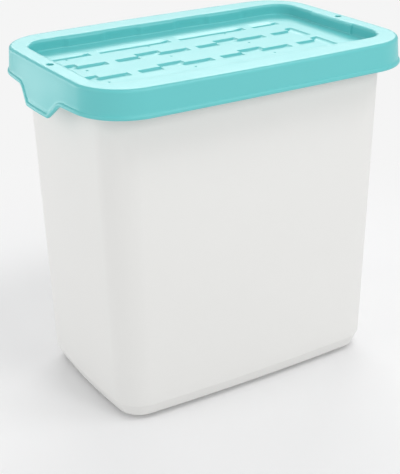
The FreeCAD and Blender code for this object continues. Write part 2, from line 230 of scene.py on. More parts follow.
@dataclass(frozen=True)
class MouldedPlastic:
    """Injection-moulded plastic: one colour with a faint drift, satin gloss and a soft ripple."""

    name: str
    colour: tuple[float, float, float]
    surfacing: Surfacing
    drift: float = 0.04
    drift_size: float = 70.0
    gloss_size: float = 22.0
    gloss_range: float = 0.05
    ripple_size: float = 9.0
    ripple_height: float = 0.006
    grain_size: float = 0.55
    grain_height: float = 0.0012
    ior: float = 1.49

    def material(self) -> bpy.types.Material:
        """Make the material.

        The base colour drifts by a few hundredths over large patches. Roughness wavers about the
        surfacing's value. The bump is a broad ripple, as cooling leaves, plus the mould's grain.

        Returns:
            The material.
        """
        made = bpy.data.materials.new(self.name)
        graph = Graph(made)
        place = graph.place()
        patches = graph.noise(place, self.drift_size, 2.0)
        darker = tuple(c * (1.0 - self.drift) for c in self.colour) + (1.0,)
        lighter = tuple(min(1.0, c * (1.0 + self.drift)) for c in self.colour) + (1.0,)
        colour = graph.mix(patches, darker, lighter)
        gloss = graph.noise(place, self.gloss_size, 3.0)
        roughness = self.surfacing.value + (gloss - 0.5) * (2.0 * self.gloss_range)
        ripple = graph.noise(place, self.ripple_size, 1.0) * (self.ripple_height * MM)
        grain = graph.noise(place, self.grain_size, 2.0) * (self.grain_height * MM)
        bump = graph.node(
            "ShaderNodeBump", {}, {"Strength": 1.0, "Distance": 1.0, "Height": ripple + grain}
        )
        shader = graph.node(
            "ShaderNodeBsdfPrincipled",
            {},
            {
                "Base Color": colour,
                "Roughness": roughness,
                "IOR": self.ior,
                "Normal": bump.out("Normal"),
            },
        )
        graph.node("ShaderNodeOutputMaterial", {}, {"Surface": shader.out("BSDF")})
        return made


# ---- meshes ------------------------------------------------------


def even_places(half: float, spacing: float) -> Array:
    """Even places from -half to half, about a spacing apart."""
    return np.linspace(-half, half, max(2, int(round(2 * half / spacing)) + 1))


def spread(places: Array, least: float) -> Array:
    """Sorted places without those that follow another by no more than the least distance."""
    return places[np.concatenate([[True], np.diff(places) > least])]


def clustered(half: float, spacing: float, marks: list[float], reach: float, fine: float) -> Array:
    """Sorted places from -half to half, close together around marks.

    Args:
        half: the last place, and less zero the first.
        spacing: distance between places away from the marks.
        marks: places that need close steps.
        reach: how far each side of a mark the close steps go.
        fine: the close steps' size.

    Returns:
        The places, with near doubles dropped.
    """
    centres = np.array(marks, float)
    even = even_places(half, spacing)
    near = (centres[:, None] + np.arange(-reach, reach + fine / 2, fine)).ravel()
    apart = np.abs(even[:, None] - centres).min(axis=1)
    even = even[(apart > reach) | (np.abs(even) == half)]
    places = np.unique(np.concatenate([even, near[np.abs(near) < half]]))
    keep = np.concatenate([[True], np.diff(places) > fine * 0.4])
    keep[-1] = True
    return places[keep]


def sheet_faces(rows: int, columns: int, closed: bool) -> Array:
    """Quads of a grid, as rows of four vertex numbers.

    Args:
        rows: number of rows.
        columns: vertices in a row.
        closed: whether the last column joins the first.

    Returns:
        Integer array of shape (faces, 4).
    """
    r, c = np.meshgrid(np.arange(rows - 1), np.arange(columns if closed else columns - 1),
                       indexing="ij")
    after = (c + 1) % columns
    quads = np.stack([r * columns + c, r * columns + after, (r + 1) * columns + after,
                      (r + 1) * columns + c], axis=-1)
    return quads.reshape(-1, 4)


def make_object(name: str, points: Array, quads: Array, caps: list[Array]) -> bpy.types.Object:
    """Mesh object from points in millimetres, with smooth faces.

    Args:
        name: the object's name.
        points: array of shape (points, 3).
        quads: faces of four vertices.
        caps: closed loops of vertex numbers, each made one flat face.

    Returns:
        The object, linked to the scene.
    """
    loops = np.concatenate([quads.ravel()] + [np.asarray(cap) for cap in caps]).astype(np.int32)
    sizes = np.concatenate([np.full(len(quads), 4)] + [[len(cap)] for cap in caps])
    starts = np.concatenate([[0], np.cumsum(sizes)[:-1]]).astype(np.int32)
    mesh = bpy.data.meshes.new(name)
    mesh.vertices.add(len(points))
    mesh.vertices.foreach_set("co", (points * MM).astype(np.float32).ravel())
    mesh.loops.add(len(loops))
    mesh.loops.foreach_set("vertex_index", loops)
    mesh.polygons.add(len(sizes))
    mesh.polygons.foreach_set("loop_start", starts)
    mesh.update(calc_edges=True)
    mesh.polygons.foreach_set("use_smooth", np.ones(len(sizes), bool))
    mesh.validate()
    made = bpy.data.objects.new(name, mesh)
    bpy.context.scene.collection.objects.link(made)
    return made


def sharpen(made: bpy.types.Object, degrees: float = 38.0) -> None:
    """Keep edges sharper than an angle crisp in the shading."""
    made.data.set_sharp_from_angle(angle=math.radians(degrees))


def make_closed(name: str, rings: Any) -> bpy.types.Object:
    """Object through rings of equal length, with a flat face over the first and the last.

    Args:
        name: the object's name.
        rings: rings of points in millimetres, each anticlockwise from above.

    Returns:
        The object.
    """
    rows, columns = len(rings), len(rings[0])
    first = np.arange(columns)[::-1]
    last = np.arange(columns) + (rows - 1) * columns
    return make_object(name, np.concatenate(rings), sheet_faces(rows, columns, True),
                       [first, last])


def arc_steps(count: int, start: float = 0.0, end: float = 90.0) -> Array:
    """Angles of a rounding in radians, from start to end degrees."""
    return np.radians(np.linspace(start, end, count))


def rounding(radius: float, count: int) -> list[tuple[float, float]]:
    """Quarter circle as pairs of distances from its two tangent lines.

    At a turn t from 0 to 90 degrees they are radius (1 - sin t) and radius (1 - cos t).

    Args:
        radius: the quarter circle's radius.
        count: number of places on it.

    Returns:
        The pairs, in the order of the turns.
    """
    turns = arc_steps(count)
    return list(zip(radius * (1 - np.sin(turns)), radius * (1 - np.cos(turns))))


def between(first: Array, second: Array, shares: tuple[float, ...]) -> list[Array]:
    """Rings that lie the given shares of the way from one ring to another."""
    return [first * (1 - share) + second * share for share in shares]


# ---- outlines ----------------------------------------------------


@dataclass(frozen=True)
class Stations:
    """Places round an outline: which of its eight arcs, and how far along it from 0 to 1.

    The arcs run anticlockwise from the right end: end, corner, far side, corner, end, corner,
    near side, corner.
    """

    arc: NDArray[np.int64]
    share: Array

    @staticmethod
    def build(end_shares: Array, side_shares: Array, corner_count: int) -> "Stations":
        """Stations with given shares on ends and sides, and even ones on the corners.

        Args:
            end_shares: shares from 0 to 1 along the right end, from -Y to +Y.
            side_shares: shares along the far side, from +X to -X.
            corner_count: steps in a corner.

        Returns:
            The stations, each arc without its last place, which the next arc starts with.
        """
        corner = np.linspace(0.0, 1.0, corner_count + 1)
        runs = [end_shares, corner, side_shares, corner] * 2
        arc = np.concatenate([np.full(len(run) - 1, index) for index, run in enumerate(runs)])
        share = np.concatenate([run[:-1] for run in runs])
        return Stations(arc, share)

    def __len__(self) -> int:
        """Number of places."""
        return len(self.arc)


@dataclass(frozen=True)
class Outline:
    """Rounded rectangle whose sides bulge, made of eight tangent arcs."""

    half_length: float
    half_width: float
    corner: float
    bow_ends: float
    bow_sides: float

    def grown(self, distance: float) -> "Outline":
        """The outline moved outwards by a distance, or inwards if it is negative."""
        return replace(
            self,
            half_length=self.half_length + distance,
            half_width=self.half_width + distance,
            corner=max(self.corner + distance, 0.5),
        )

    def _arcs(self) -> tuple[float, float, float, float, float, float]:
        """Radii and turns of the arcs.

        A side's radius is (chord^2 + bow^2) / (2 bow), with chord its half length between corners.
        The corner's centre is where circles of the two side radii less the corner's meet.

        Returns:
            End radius, side radius, the corner centre's x and y, and the turns at which the end's
            arc and the side's arc pass into the corner.
        """
        chord_end = self.half_width - self.corner
        chord_side = self.half_length - self.corner
        end = (chord_end**2 + self.bow_ends**2) / (2 * self.bow_ends)
        side = (chord_side**2 + self.bow_sides**2) / (2 * self.bow_sides)
        end_x, side_y = self.half_length - end, self.half_width - side
        reach_end, reach_side = end - self.corner, side - self.corner
        apart = math.hypot(end_x, side_y)
        along = (reach_end**2 - reach_side**2 + apart**2) / (2 * apart)
        across = math.sqrt(reach_end**2 - along**2)
        ray_x, ray_y = -end_x / apart, side_y / apart
        x = end_x + ray_x * along - ray_y * across
        y = ray_y * along + ray_x * across
        if x < 0:
            x = end_x + ray_x * along + ray_y * across
            y = ray_y * along - ray_x * across
        end_turn = math.atan2(y, x - end_x)
        side_turn = math.atan2(y - side_y, x)
        return end, side, x, y, end_turn, side_turn

    def tangent_places(self) -> tuple[float, float]:
        """Half lengths of the straightest stretches: y at the ends' and x at the sides' tangents."""
        end, side, _, _, end_turn, side_turn = self._arcs()
        return end * math.sin(end_turn), side * math.cos(side_turn)

    def at(self, stations: Stations) -> tuple[Array, Array]:
        """Points and outward normals at stations.

        On an end or a side the share is even along its chord, and on a corner along its turn.

        Args:
            stations: places round the outline.

        Returns:
            Two arrays of shape (places, 2).
        """
        end, side, corner_x, corner_y, end_turn, side_turn = self._arcs()
        kind = stations.arc
        share = stations.share
        end_reach, side_reach = end * math.sin(end_turn), side * math.cos(side_turn)
        swing = (2 * share - 1)
        end_angle = np.arcsin(np.clip(swing * end_reach / end, -1, 1))
        side_angle = np.arcsin(np.clip(swing * side_reach / side, -1, 1))
        turns = side_turn - end_turn
        half = math.pi
        angle = np.choose(kind, [
            end_angle,
            end_turn + share * turns,
            half / 2 + side_angle,
            half - side_turn + share * turns,
            half + end_angle,
            half + end_turn + share * turns,
            1.5 * half + side_angle,
            2 * half - side_turn + share * turns,
        ])
        end_x, side_y = self.half_length - end, self.half_width - side
        centre_x = np.array([end_x, corner_x, 0, -corner_x, -end_x, -corner_x, 0, corner_x])[kind]
        centre_y = np.array([0, corner_y, side_y, corner_y, 0, -corner_y, -side_y, -corner_y])[kind]
        radius = np.array([end, self.corner, side, self.corner] * 2)[kind]
        normal = np.stack([np.cos(angle), np.sin(angle)], axis=-1)
        centre = np.stack([centre_x, centre_y], axis=-1)
        return centre + radius[:, None] * normal, normal


def ring(plan: Array, level: Any) -> Array:
    """Ring of points from their plan and a level, one number or one for each point."""
    heights = np.broadcast_to(np.asarray(level, float), (len(plan),))
    return np.column_stack([plan, heights])


# ---- lid ---------------------------------------------------------


@dataclass(frozen=True)
class TabEdge:
    """Lower edge of the skirt's end, seen along X: level, with a finger tab hanging in its middle."""

    edge: float
    root: float = 60.0
    tip: float = 30.9
    drop: float = 11.2
    root_round: float = 13.0
    tip_round: float = 2.9
    least_round: float = 0.4

    def level(self, across: Array, inset: float) -> Array:
        """Height of the edge, or of the line a given distance above and inside it.

        The line runs level, turns down along an arc, follows a slanted side, turns along a second
        arc and is level again at the tip. Moving it inside by d raises the level stretches by d,
        and shifts the slanted side by d (lean - side length) / drop.

        Args:
            across: y of each point.
            inset: distance from the edge.

        Returns:
            Height of each point.
        """
        lean = (self.root - self.tip) / 2
        slope = self.drop / lean
        turn = math.atan(slope)
        shift = inset * (lean - math.hypot(lean, self.drop)) / self.drop
        root, tip = self.root / 2 + shift, self.tip / 2 + shift
        high, low = self.edge + inset, self.edge - self.drop + inset
        root_round = self.root_round + inset
        tip_round = max(self.tip_round - inset, self.least_round)
        root_run = root_round * math.tan(turn / 2)
        tip_run = tip_round * math.tan(turn / 2)
        y = np.abs(across)
        root_arc = high - root_round + np.sqrt(
            np.maximum(root_round**2 - (y - root - root_run) ** 2, 0)
        )
        tip_arc = low + tip_round - np.sqrt(np.maximum(tip_round**2 - (y - tip + tip_run) ** 2, 0))
        slanted = low + (y - tip) * slope
        return np.select(
            [
                y > root + root_run,
                y > root - root_run * math.cos(turn),
                y > tip + tip_run * math.cos(turn),
                y > tip - tip_run,
            ],
            [np.full_like(y, high), root_arc, slanted, tip_arc],
            np.full_like(y, low),
        )


@dataclass
class Lid:
    """Snap lid: flat ring, skirt with a bead and two finger tabs, and a sunk, patterned panel."""

    top: float
    half_length: float
    half_width: float
    finish: MouldedPlastic
    wall: float = 1.6
    corner: float = 35.0
    bow_ends: float = 0.4
    bow_sides: float = 1.9
    flare: float = 3.3
    corner_flare: float = 1.4
    skirt_depth: float = 19.1
    edge_round: float = 2.4
    crown_depth: float = 3.0
    ring_ends: float = 13.0
    ring_sides: float = 21.9
    recess_depth: float = 8.2
    recess_corner: float = 16.5
    recess_bow: float = 0.3
    rim_round: float = 2.3
    cove: float = 1.0
    bead_width: float = 2.8
    bead_proud: float = 1.0
    bead_cove: float = 0.25
    foot_round: float = 0.4
    pad_length: float = 32.0
    pad_pitch: float = 59.6
    pad_offset: float = 3.4
    end_pad_length: float = 49.0
    pad_proud: float = 1.1
    pad_edge: float = 0.5
    tray_floor: float = 3.0
    hole: float = 5.0
    hole_lip: float = 0.35
    tray_margin: float = 6.0
    tray_cover: float = 0.4
    tray_edge: float = 0.6
    corner_steps: int = 26

    @property
    def panel(self) -> float:
        """Height of the sunk panel."""
        return self.top - self.recess_depth

    @property
    def edge(self) -> float:
        """Height of the skirt's lower edge."""
        return self.top - self.skirt_depth

    def crown_outline(self) -> Outline:
        """Outline of the lid at its top."""
        return Outline(self.half_length, self.half_width, self.corner, self.bow_ends,
                       self.bow_sides)

    def flared_outline(self, share: float = 1.0) -> Outline:
        """Outline of the lid where the middle of each end has a share of the skirt's flare.

        The corners stand out by the corners' flare, and the middle of each side doesn't.

        Args:
            share: share of the ends' flare, 1 at the skirt's lower edge and more along the tabs.

        Returns:
            The outline.
        """
        flare = self.flare * share
        return Outline(
            self.half_length + flare,
            self.half_width,
            self.corner + self.corner_flare,
            self.bow_ends + flare - self.corner_flare,
            self.bow_sides - self.corner_flare,
        )

    def recess_outline(self) -> Outline:
        """Outline of the recess between its pads."""
        return Outline(self.half_length - self.ring_ends, self.half_width - self.ring_sides,
                       self.recess_corner, self.recess_bow, self.recess_bow)

    def pad_edges(self) -> tuple[list[float], list[float]]:
        """Where the pads start and end: along the sides in x, and along the ends in y."""
        half = self.pad_length / 2
        sides = [step * self.pad_pitch - self.pad_offset + sign * half
                 for step in (-1, 0, 1) for sign in (-1, 1)]
        return sides, [-self.end_pad_length / 2, self.end_pad_length / 2]

    def stations(self, tab: TabEdge) -> Stations:
        """Stations close together at the pads' edges and round the tabs."""
        recess_y, recess_x = self.recess_outline().tangent_places()
        flared_y, _ = self.flared_outline().tangent_places()
        side_marks, end_marks = self.pad_edges()
        spacing, reach, fine = 1.8, 1.0, 0.2
        sides = clustered(recess_x, spacing, side_marks, reach, fine) / recess_x
        end_shares = clustered(recess_y, spacing, end_marks, reach, fine) / recess_y
        tab_middle = (tab.root + tab.tip) / 4
        tab_shares = clustered(flared_y, 1.6, [-tab_middle, tab_middle], 14.0, 0.5) / flared_y
        ends = np.unique(np.round(np.concatenate([end_shares, tab_shares]), 5))
        ends = spread(ends, 0.002)
        ends[-1] = 1.0
        return Stations.build((ends + 1) / 2, (sides + 1) / 2, self.corner_steps)

    def pad_push(self, plan: Array, stations: Stations) -> Array:
        """How far the recess's wall stands in at each station because of the pads.

        A pad is a plateau with smooth ends: step(half + s - distance) for half its length, and a
        step that rises over the pad's edge width.

        Args:
            plan: points of the recess's outline.
            stations: their stations.

        Returns:
            Inward push for each station.
        """
        def plateau(distance: Array, half: float) -> Array:
            """1 within half a length, 0 beyond it, with a smooth step between."""
            rise = np.clip((half + self.pad_edge / 2 - distance) / self.pad_edge, 0, 1)
            return rise * rise * (3 - 2 * rise)

        x, y = plan[:, 0], plan[:, 1]
        along = x + self.pad_offset
        nearest = np.clip(np.round(along / self.pad_pitch), -1, 1) * self.pad_pitch
        side = plateau(np.abs(along - nearest), self.pad_length / 2)
        end = plateau(np.abs(y), self.end_pad_length / 2)
        on_side = np.isin(stations.arc, (2, 6))
        on_end = np.isin(stations.arc, (0, 4))
        return self.pad_proud * (np.where(on_side, side, 0) + np.where(on_end, end, 0))

    def shell_rings(self, stations: Stations, tab: TabEdge) -> list[Array]:
        """Rings of the closed shell, from under the panel, over the ring, skirt and bead, inside.

        Args:
            stations: places round the outlines.
            tab: lower edge of the skirt's ends.

        Returns:
            Rings of points, in order.
        """
        recess = self.recess_outline()
        recess_plan, recess_out = recess.at(stations)
        push = recess_out * self.pad_push(recess_plan, stations)[:, None]

        def in_recess(outward: float, level: float, pushed: float = 1.0) -> Array:
            """Ring along the recess's wall, with a share of the pads' push."""
            return ring(recess_plan - push * pushed + recess_out * outward, level)

        crown_level = self.top - self.crown_depth
        reach = tab.drop / (crown_level - self.edge)
        upper, upper_out = self.crown_outline().at(stations)
        lower, lower_out = self.flared_outline().at(stations)
        lowest, _ = self.flared_outline(1.0 + reach).at(stations)

        def on_skirt(outward: float, level: Any) -> Array:
            """Ring on the skirt, which flares evenly with depth and goes on so along the tabs."""
            heights = np.broadcast_to(np.asarray(level, float), (len(stations),))
            fall = ((crown_level - heights) / (crown_level - self.edge))[:, None]
            flare = np.clip(fall, 0, 1)
            below = np.maximum(fall - 1, 0) / reach
            plan = upper * (1 - flare) + lower * flare + (lowest - lower) * below
            out = upper_out * (1 - flare) + lower_out * flare
            return ring(plan + out * outward, heights)

        ends_y = lower[:, 1]
        on_ends = np.isin(stations.arc, (0, 4))

        def above_edge(inset: float) -> Array:
            """Levels at a distance above the skirt's edge and the tabs'."""
            return np.where(on_ends, tab.level(ends_y, inset), self.edge + inset)

        hidden = self.panel - self.tray_floor + self.tray_cover
        rings = [
            ring(recess.grown(-self.tray_margin).at(stations)[0], hidden),
            in_recess(-self.cove - 0.8, hidden),
            in_recess(-self.cove - 0.04, self.panel - 0.03),
        ]
        rings += [in_recess(-inward, self.panel + rise)
                  for inward, rise in rounding(self.cove, 6)]
        upright = self.recess_depth - self.cove - self.rim_round
        rings += [in_recess(0.0, self.panel + self.cove + share * upright)
                  for share in (0.35, 0.7)]
        rings += [in_recess(outward, self.top - below, (1 - outward / self.rim_round) ** 2)
                  for below, outward in rounding(self.rim_round, 9)]
        inner = in_recess(self.rim_round, self.top, 0.0)
        outer = on_skirt(-self.edge_round, self.top)
        rings += between(inner, outer, (0.08, 0.3, 0.6, 0.9))
        rings += [on_skirt(-inward, self.top - fall)
                  for inward, fall in rounding(self.edge_round, 10)]
        bead_top = above_edge(self.bead_width + self.bead_cove)
        rings += [on_skirt(0.0, crown_level * (1 - share) + bead_top * share)
                  for share in np.linspace(0, 1, 9)[1:]]
        middle = self.bead_width / 2
        rings += [on_skirt(self.bead_proud * math.cos(turn),
                           above_edge(middle * (1 + math.sin(turn))))
                  for turn in arc_steps(15, 80.0, -90.0)]
        rings += [on_skirt(inward - self.wall, above_edge(rise))
                  for inward, rise in rounding(self.foot_round, 5)]
        under, inside_round = self.top - self.wall, 0.4
        start, finish = above_edge(2.0), under - inside_round
        rings += [on_skirt(-self.wall, start * (1 - share) + finish * share)
                  for share in (0.0, 0.25, 0.5, 0.75, 0.95)]
        tray_plan = recess_plan + recess_out * self.wall
        rings += between(on_skirt(-self.wall - inside_round, under), ring(tray_plan, under),
                         (0.0, 0.5, 1.0))
        tray_under = self.panel - self.tray_floor
        rings.append(ring(tray_plan, tray_under + self.tray_edge))
        rings.append(ring(tray_plan - recess_out * self.tray_edge, tray_under))
        return rings

    def make_shell(self) -> bpy.types.Object:
        """Make the shell and drill the two holes through its ring.

        Returns:
            The shell.
        """
        tab = TabEdge(self.edge)
        stations = self.stations(tab)
        shell = make_closed("lid_shell", self.shell_rings(stations, tab))
        self.drill(shell)
        sharpen(shell)
        return shell

    def drill(self, shell: bpy.types.Object) -> None:
        """Cut the hanging holes, whose upper rims are rounded.

        The cutter is a profile turned about the hole's axis: a straight shank that opens along a
        quarter circle just under the ring's top.

        Args:
            shell: the lid's shell, which is changed.
        """
        radius, lip, past = self.hole / 2, self.hole_lip, 1.0
        profile = np.array(
            [(radius, self.top - self.wall - past)]
            + [(radius + outward, self.top - below) for below, outward in rounding(lip, 5)]
            + [(radius + lip, self.top + past)]
        )
        around = np.linspace(0, 2 * math.pi, 49)[:-1]
        centre = self.half_length - self.ring_ends / 2
        for sign in (-1, 1):
            x = sign * centre + profile[:, :1] * np.cos(around)
            y = profile[:, :1] * np.sin(around)
            z = np.broadcast_to(profile[:, 1:], x.shape)
            cutter = make_closed("cutter", np.stack([x, y, z], axis=-1))
            modifier = shell.modifiers.new("hole", "BOOLEAN")
            modifier.operation = "DIFFERENCE"
            modifier.solver = "EXACT"
            modifier.object = cutter
            graph = bpy.context.evaluated_depsgraph_get()
            mesh = bpy.data.meshes.new_from_object(shell.evaluated_get(graph))
            shell.modifiers.clear()
            old = shell.data
            shell.data = mesh
            bpy.data.meshes.remove(old)
            bpy.data.objects.remove(cutter)

    def build(self) -> list[bpy.types.Object]:
        """Build the shell and the panel and dress them.

        Returns:
            The pieces.
        """
        material = self.finish.material()
        shell = self.make_shell()
        panel = Panel(self.panel, self.recess_outline().grown(-self.cove + 0.06)).make()
        pieces = [shell, panel]
        for piece in pieces:
            piece.data.materials.clear()
            piece.data.materials.append(material)
            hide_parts("lid")
            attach(piece, "root")
        return pieces


@dataclass(frozen=True)
class Block:
    """Upright rectangle in plan, from its low corner to its high one."""

    low_x: float
    low_y: float
    high_x: float
    high_y: float

    def distance(self, x: Array, y: Array) -> Array:
        """Distance outside the rectangle, negative inside it.

        Args:
            x: places along X.
            y: places along Y.

        Returns:
            Signed distance at each place.
        """
        from_x = np.abs(x - (self.low_x + self.high_x) / 2) - (self.high_x - self.low_x) / 2
        from_y = np.abs(y - (self.low_y + self.high_y) / 2) - (self.high_y - self.low_y) / 2
        outside = np.hypot(np.maximum(from_x, 0), np.maximum(from_y, 0))
        return outside + np.minimum(np.maximum(from_x, from_y), 0)


@dataclass
class Panel:
    """Sunk panel of the lid, with rows of stepped shallow pockets and small dimples."""

    level: float
    outline: Outline
    depth: float = 1.4
    lip: float = 0.65
    steep: float = 0.12
    pitch: float = 65.0
    row_pitch: float = 32.3
    row_start: float = 5.5
    strip: float = 6.8
    crest: float = 12.6
    lead: float = 18.0
    crest_length: float = 18.5
    tail: float = 20.5
    ramp: float = 2.8
    ramp_past: float = 0.8
    end_drop: float = 12.0
    end_rise: float = 11.4
    end_length: float = 6.5
    field_low: float = -104.0
    field_high: float = 88.0
    back_start: float = 33.0
    back_width: float = 5.5
    back_slope: float = 6.0
    back_stop: float = 4.0
    dimple: float = 1.8
    dimple_depth: float = 0.9
    dimple_along: float = 37.0
    dimple_across: float = 6.6
    columns: tuple[int, ...] = (-2, -1, 0, 1)
    rows: tuple[int, ...] = (-1, 0)

    def slope(self, x: Array, end: float) -> Array:
        """Floor that rises along a ramp, which tops out just past a pocket's +X end."""
        return -self.depth * np.clip((end + self.ramp_past - x) / self.ramp, 0, 1)

    def pockets(self) -> list[list[tuple[float, list[Block]]]]:
        """Pockets of the stepped rows, as stretches with the x where each one's ramp tops out.

        Returns:
            For each pocket its stretches: the ramp's upper end and the stretch's blocks.
        """
        found = []
        for row in self.rows:
            y = self.row_start + row * self.row_pitch
            for column in self.columns:
                x = column * self.pitch
                middle = x + self.lead + self.crest_length
                end = middle + self.tail
                strip = [
                    Block(x, y, x + self.lead, y + self.strip),
                    Block(x + self.lead, y, middle, y + self.strip),
                ]
                crest = [Block(x + self.lead, y, middle, y + self.crest)]
                if end > self.field_high:
                    strip.append(Block(self.field_high - self.end_length, y - self.end_drop,
                                       self.field_high, y + self.end_rise))
                    found.append([(self.field_high, strip + crest)])
                else:
                    strip.append(Block(middle - 1, y, end, y + self.strip))
                    found.append([(end, strip), (middle, crest)])
        return found

    def back_pockets(self) -> list[Block]:
        """Straight pockets of the back row."""
        length = self.lead + self.crest_length + self.tail
        return [
            Block(column * self.pitch, self.back_start,
                  min(column * self.pitch + length, self.field_high),
                  self.back_start + self.back_width)
            for column in self.columns
        ]

    def wall(self, distance: Array) -> Array:
        """Height over a pocket's edge, from its distance: lip rounded, steep wall, flat floor.

        Outside the edge the surface follows a quarter circle of the lip's radius, and inside it
        falls to the floor over the steep width.

        Args:
            distance: signed distance from the edge.

        Returns:
            Height below the panel, zero or negative.
        """
        rounded = -self.lip + np.sqrt(
            np.maximum(self.lip**2 - (self.lip - np.clip(distance, 0, self.lip)) ** 2, 0)
        )
        fall = np.clip(-distance / self.steep, 0, 1)
        return np.where(distance >= 0, rounded, -self.lip - (self.depth - self.lip) * fall)

    def height(self, x: Array, y: Array) -> Array:
        """Height of the relief at places on the panel, zero or negative.

        A stretch is the union of its blocks, cut off by the field. Towards its +X end the floor
        rises along a ramp, so its height is the greater of the wall's and the ramp's, and a
        pocket's height is the least of its stretches'.

        Args:
            x: places along X.
            y: places along Y.

        Returns:
            Height at each place.
        """
        cut_off = np.maximum(self.field_low - x, x - self.field_high)
        relief = np.zeros_like(x)
        for stretches in self.pockets():
            for end, blocks in stretches:
                inside = np.minimum.reduce([block.distance(x, y) for block in blocks])
                inside = np.maximum(inside, cut_off)
                relief = np.minimum(relief, np.maximum(self.wall(inside), self.slope(x, end)))
        for block in self.back_pockets():
            inside = np.maximum(block.distance(x, y), cut_off)
            pocket = np.maximum(self.wall(inside), self.slope(x, block.high_x))
            past = np.clip((y - block.high_y) / self.back_slope, 0, 1)
            along = (x > block.low_x) & (x < block.high_x - self.back_stop) & (cut_off < 0)
            slope = np.where(along & (y >= block.high_y), -self.lip * (1 - past), 0)
            relief = np.minimum(relief, np.minimum(pocket, slope))
        for row in (*self.rows, 1):
            for column in self.columns:
                centre_x = column * self.pitch + self.dimple_along
                centre_y = self.row_start + row * self.row_pitch - self.dimple_across
                away = np.hypot(x - centre_x, y - centre_y) / (self.dimple / 2)
                bowl = -self.dimple_depth * np.sqrt(np.clip(1 - away**2, 0, 1))
                kept = self.field_low < centre_x < self.field_high
                relief = np.minimum(relief, bowl if kept else 0)
        return relief

    def lines(self) -> tuple[Array, Array]:
        """Grid lines of the panel, close together at the pockets' edges and the dimples.

        Returns:
            Places along X and along Y.
        """
        lead, crest = self.lead, self.lead + self.crest_length
        starts = [column * self.pitch for column in self.columns]
        walls_x = [x + step for x in starts for step in (0.0, lead, crest, crest + self.tail)]
        walls_x += [self.field_low, self.field_high, self.field_high - self.end_length]
        dimples_x = [x + self.dimple_along for x in starts]
        rows = [self.row_start + row * self.row_pitch for row in self.rows]
        walls_y = [y + step for y in rows for step in
                   (-self.end_drop, 0.0, self.strip, self.end_rise, self.crest)]
        walls_y += [self.back_start, self.back_start + self.back_width]
        dimples_y = [y - self.dimple_across for y in (*rows, self.row_start + self.row_pitch)]

        def merged(half: float, walls: list[float], dimples: list[float]) -> Array:
            """Lines for walls and dimples together, without near doubles."""
            wall_lines = clustered(half, 2.4, walls, 1.0, 0.14)
            dimple_lines = clustered(half, 2.4, dimples, 1.2, 0.25)
            return spread(np.unique(np.concatenate([wall_lines, dimple_lines])), 0.05)

        return (merged(self.outline.half_length, walls_x, dimples_x),
                merged(self.outline.half_width, walls_y, dimples_y))

    def make(self) -> bpy.types.Object:
        """Make the panel as a height field on a grid with rounded corners.

        A grid point beyond a corner's arc is moved onto it, towards the arc's centre. Faces whose
        points were all moved are dropped.

        Returns:
            The panel.
        """
        lines_x, lines_y = self.lines()
        x, y = np.meshgrid(lines_x, lines_y)
        centre_x = self.outline.half_length - self.outline.corner
        centre_y = self.outline.half_width - self.outline.corner
        over_x, over_y = np.abs(x) - centre_x, np.abs(y) - centre_y
        reach = np.hypot(np.maximum(over_x, 0), np.maximum(over_y, 0))
        in_corner = (over_x > 0) & (over_y > 0) & (reach > self.outline.corner)
        pull = np.where(in_corner, self.outline.corner / np.maximum(reach, 1e-9), 1.0)
        x = np.where(in_corner, np.sign(x) * (centre_x + over_x * pull), x)
        y = np.where(in_corner, np.sign(y) * (centre_y + over_y * pull), y)
        z = self.level + self.height(x, y)
        quads = sheet_faces(*x.shape, False)
        dropped = in_corner.ravel()[quads].all(axis=1)
        points = np.stack([x, y, z], axis=-1).reshape(-1, 3)
        return make_object("lid_panel", points, quads[~dropped], [])


# ---- tub ---------------------------------------------------------


